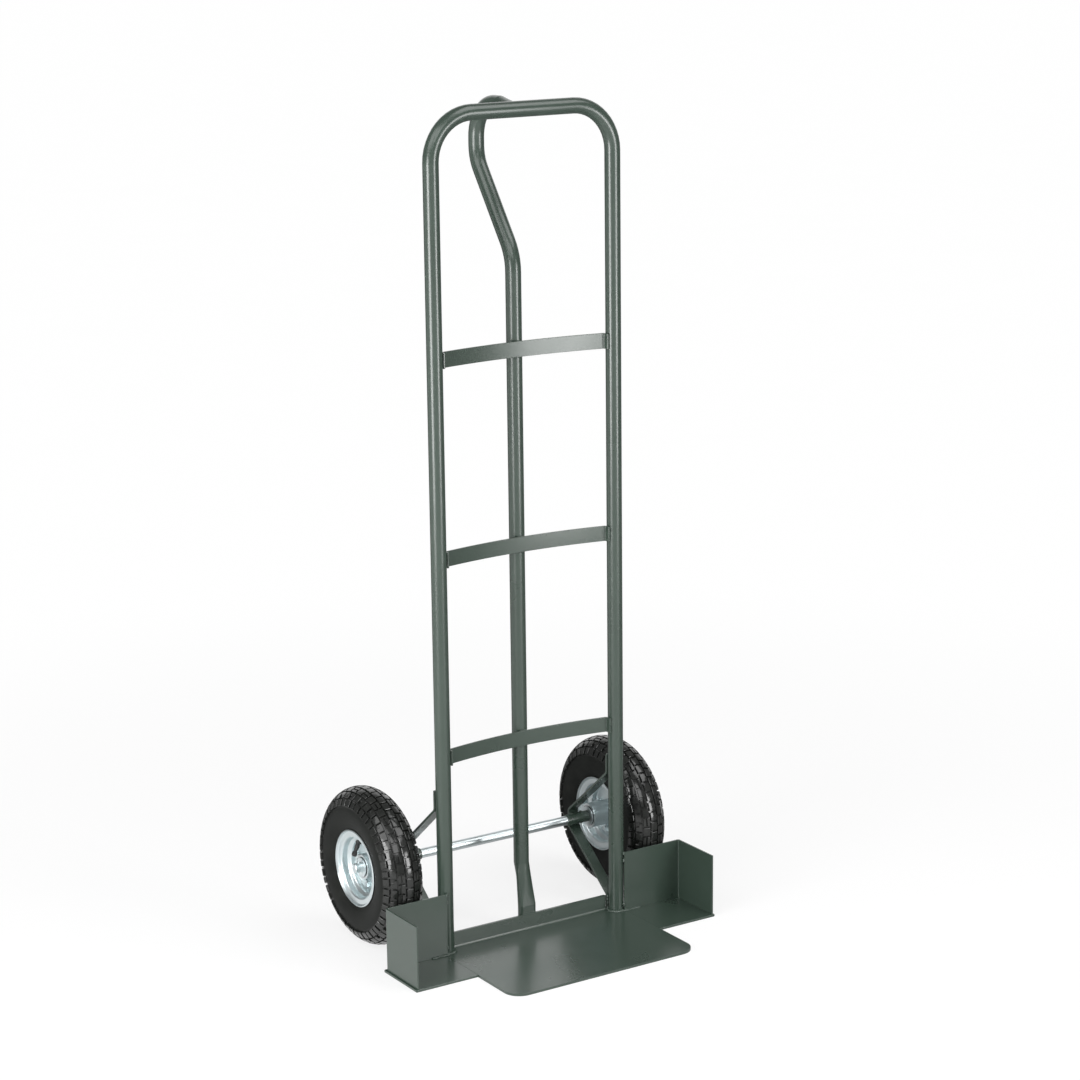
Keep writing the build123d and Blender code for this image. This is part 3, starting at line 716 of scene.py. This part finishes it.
def turnAlong(name, rings):
    # a circle facing along the valve is extruded from ring to ring, and both ends are filled
    look = valveLook
    along = Vector(look["lean"]).normalized()
    turn = along.to_track_quat("Z", "Y")
    start = Vector(look["root"]) + along * rings[0][0]
    bpy.ops.mesh.primitive_circle_add(vertices=look["vertices"], radius=rings[0][1], fill_type="NGON",
                                      location=start, rotation=turn.to_euler())
    bpy.ops.object.transform_apply(location=True, rotation=True)
    piece = startPiece(name)
    bpy.ops.mesh.select_all(action="SELECT")
    for (before, small), (here, wide) in zip(rings, rings[1:]):
        place = Vector(look["root"]) + along * here
        bpy.ops.mesh.extrude_region_move(TRANSFORM_OT_translate={"value": along * (here - before)})
        bpy.ops.transform.resize(value=(wide / small,) * 3, center_override=place)
    bpy.ops.mesh.select_all(action="SELECT")
    bpy.ops.mesh.normals_make_consistent(inside=False)
    return piece


def makeCap():
    look = valveLook
    along = Vector(look["lean"]).normalized()
    piece = turnAlong("valveCap", look["cap"])
    ribStart, ribEnd = look["cap"][2][0], look["cap"][3][0]    # the cap's third and fourth rings

    def isSide(face):
        # the cap's upright faces, without the thin frames that the inset leaves
        wide = face.calc_area() > (ribEnd - ribStart) * look["ribWidth"]
        return wide and abs(face.normal.dot(along)) < look["sideTilt"]

    pick(piece, "FACE", isSide)
    bpy.ops.mesh.inset(thickness=look["ribInset"], use_individual=True)
    pick(piece, "FACE", isSide)
    bpy.ops.mesh.extrude_region_shrink_fatten(TRANSFORM_OT_shrink_fatten={"value": look["ribDepth"]})
    return closePiece(piece, "rightValveCap")


rightStem = closePiece(turnAlong("valveStem", valveLook["stem"]), "rightValveStem")
rightCap = makeCap()
for piece, node in ((rightStem, "valve_stem"), (rightCap, "valve_cap")):
    twin = mirrorPiece(piece, piece.name.replace("right", "left"))
    for made, side in ((piece, "right"), (twin, "left")):
        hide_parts(side + "_" + node)
        finishPiece(made, "black_rubber", side + "_wheel", valveLook["smoothAngle"])
print("valves made")


# studio: camera, floor, lamps and world

def setCamera():
    # the place and turn were fitted to the photograph's edges, taking the frame as 1080 pixels square
    view = {"focalPixels": 2786.8, "framePixels": 1080, "sensor": 36.0, "place": (-2.2974, -3.6186, 1.6963),
            "yaw": 32.662, "pitch": 13.586, "roll": -0.681, "farthest": 200}
    camera = bpy.data.objects.new("camera", bpy.data.cameras.new("camera"))
    bpy.context.collection.objects.link(camera)
    camera.data.sensor_width = view["sensor"]
    camera.data.lens = view["focalPixels"] * view["sensor"] / view["framePixels"]
    camera.data.clip_end = view["farthest"]
    yaw, pitch, roll = (radians(view[key]) for key in ("yaw", "pitch", "roll"))
    turn = Matrix.Rotation(-yaw, 4, "Z") @ Matrix.Rotation(pi / 2 - pitch, 4, "X")
    turn = turn @ Matrix.Rotation(roll, 4, "Z")
    camera.matrix_world = Matrix.Translation(view["place"]) @ turn
    bpy.context.scene.camera = camera


def makeFloor():
    # seen directly, the floor whitens with distance, and near the object it keeps the shadow
    look = {"half": 60.0, "colour": (0.86, 0.86, 0.86, 1), "nearShare": 0.8, "farShare": 1.0, "fadeFrom": 0.5,
            "fadeTo": 2.4, "clouds": {"scale": 3, "detail": 2}, "cloudDepth": 0.01, "glossyShare": 0.85,
            # painted reflection: to glossy rays the floor glows bright in front of the object's left side and
            # dark behind its right
            "ahead": (-0.866, -0.5, 0), "darkFrom": 0.35, "darkTo": -0.4, "bright": 1.05, "dark": 0.15}
    bpy.ops.mesh.primitive_plane_add(size=2 * look["half"])
    floor = bpy.context.object
    nameIt(floor, "floor")
    material, tree = newMaterial("paleFloor")
    camera = tree.node("ShaderNodeLightPath", {}, {}, "Is Camera Ray")
    glossy = tree.node("ShaderNodeLightPath", {}, {}, "Is Glossy Ray")
    through = tree.node("ShaderNodeLightPath", {}, {}, "Is Transmission Ray")
    distance = tree.node("ShaderNodeVectorMath", {"operation": "LENGTH"}, {0: tree.place()}, "Value")
    fade = tree.node("ShaderNodeMapRange", {"interpolation_type": "SMOOTHSTEP"}, {
        "Value": distance, "From Min": look["fadeFrom"], "From Max": look["fadeTo"],
        "To Min": look["nearShare"], "To Max": look["farShare"]})
    cloudy = tree.noise(**look["clouds"]) * look["cloudDepth"]
    # painted reflection: most of what glossy rays see of the floor is this glow, set by where they meet it,
    # not the lit paper
    seen = (camera + through) * (fade - cloudy) + glossy * look["glossyShare"]
    ahead = tree.node("ShaderNodeVectorMath", {"operation": "DOT_PRODUCT"}, {
        0: tree.place(), 1: look["ahead"]}, "Value")
    mirrored = tree.node("ShaderNodeMapRange", {"interpolation_type": "SMOOTHSTEP"}, {
        "Value": ahead, "From Min": look["darkFrom"], "From Max": look["darkTo"],
        "To Min": look["bright"], "To Max": look["dark"]})
    paper = tree.node("ShaderNodeBsdfDiffuse", {}, {"Color": look["colour"]})
    white = tree.node("ShaderNodeEmission", {}, {
        "Color": (1, 1, 1, 1), "Strength": 1.0 + glossy * (mirrored - 1.0)})
    mixed = tree.node("ShaderNodeMixShader", {}, {0: seen, 1: paper, 2: white})
    tree.output("ShaderNodeOutputMaterial", mixed)
    floor.data.materials.append(material)


# two low upright boxes draw the light bands on the tubes, and three large soft lamps light the whole
lamps = {"leftBox": {"place": (-2.6, -0.7, 0.8), "target": (0, 0, 0.8), "size": (1.1, 1.3), "power": 52},
         "rightBox": {"place": (1.05, -2.4, 0.8), "target": (0, 0, 0.8), "size": (0.8, 1.3), "power": 34},
         "leftLamp": {"place": (-5.0, -1.5, 4.9), "target": (0, 0, 0.4), "size": (5.0, 4.3), "power": 190},
         "topLamp": {"place": (2.2, -2.4, 6.2), "target": (0, 0, 0.5), "size": (4.4, 4.4), "power": 200},
         "frontLamp": {"place": (-2.9, -5.8, 5.1), "target": (0, 0, 0.4), "size": (3.8, 3.5), "power": 140}}


def areaLamp(name, look):
    lamp = bpy.data.lights.new(name, "AREA")
    lamp.shape = "RECTANGLE"
    lamp.size, lamp.size_y = look["size"]
    lamp.energy = look["power"]
    holder = bpy.data.objects.new(name, lamp)
    bpy.context.collection.objects.link(holder)
    holder.location = look["place"]
    away = Vector(look["target"]) - Vector(look["place"])
    holder.rotation_euler = away.to_track_quat("-Z", "Y").to_euler()


def makeWorld():
    # white to the camera and dim as a light; mirrored, a bright backdrop behind the object and a dim room
    look = {"light": 0.24, "room": 0.2, "backdrop": 1.15, "behind": (0.54, 0.84, 0.1),
            "from": 0.72, "to": 0.9}
    world = bpy.data.worlds.new("studio")
    bpy.context.scene.world = world
    world.use_nodes = True
    tree = Tree(world.node_tree)
    camera = tree.node("ShaderNodeLightPath", {}, {}, "Is Camera Ray")
    glossy = tree.node("ShaderNodeLightPath", {}, {}, "Is Glossy Ray")
    toward = tree.node("ShaderNodeTexCoord", {}, {}, "Generated")
    facing = tree.node("ShaderNodeVectorMath", {"operation": "DOT_PRODUCT"}, {
        0: toward, 1: look["behind"]}, "Value")
    mirrored = tree.node("ShaderNodeMapRange", {"interpolation_type": "SMOOTHSTEP"}, {
        "Value": facing, "From Min": look["from"], "From Max": look["to"],
        "To Min": look["room"], "To Max": look["backdrop"]})
    strength = look["light"] + camera * (1 - look["light"]) + glossy * (mirrored - look["light"])
    shader = tree.node("ShaderNodeBackground", {}, {"Color": (1, 1, 1, 1), "Strength": strength})
    tree.output("ShaderNodeOutputWorld", shader)


setCamera()
makeFloor()
makeWorld()
for name, look in lamps.items():
    areaLamp(name, look)
bpy.context.scene.view_settings.view_transform = "Standard"
print("studio ready")
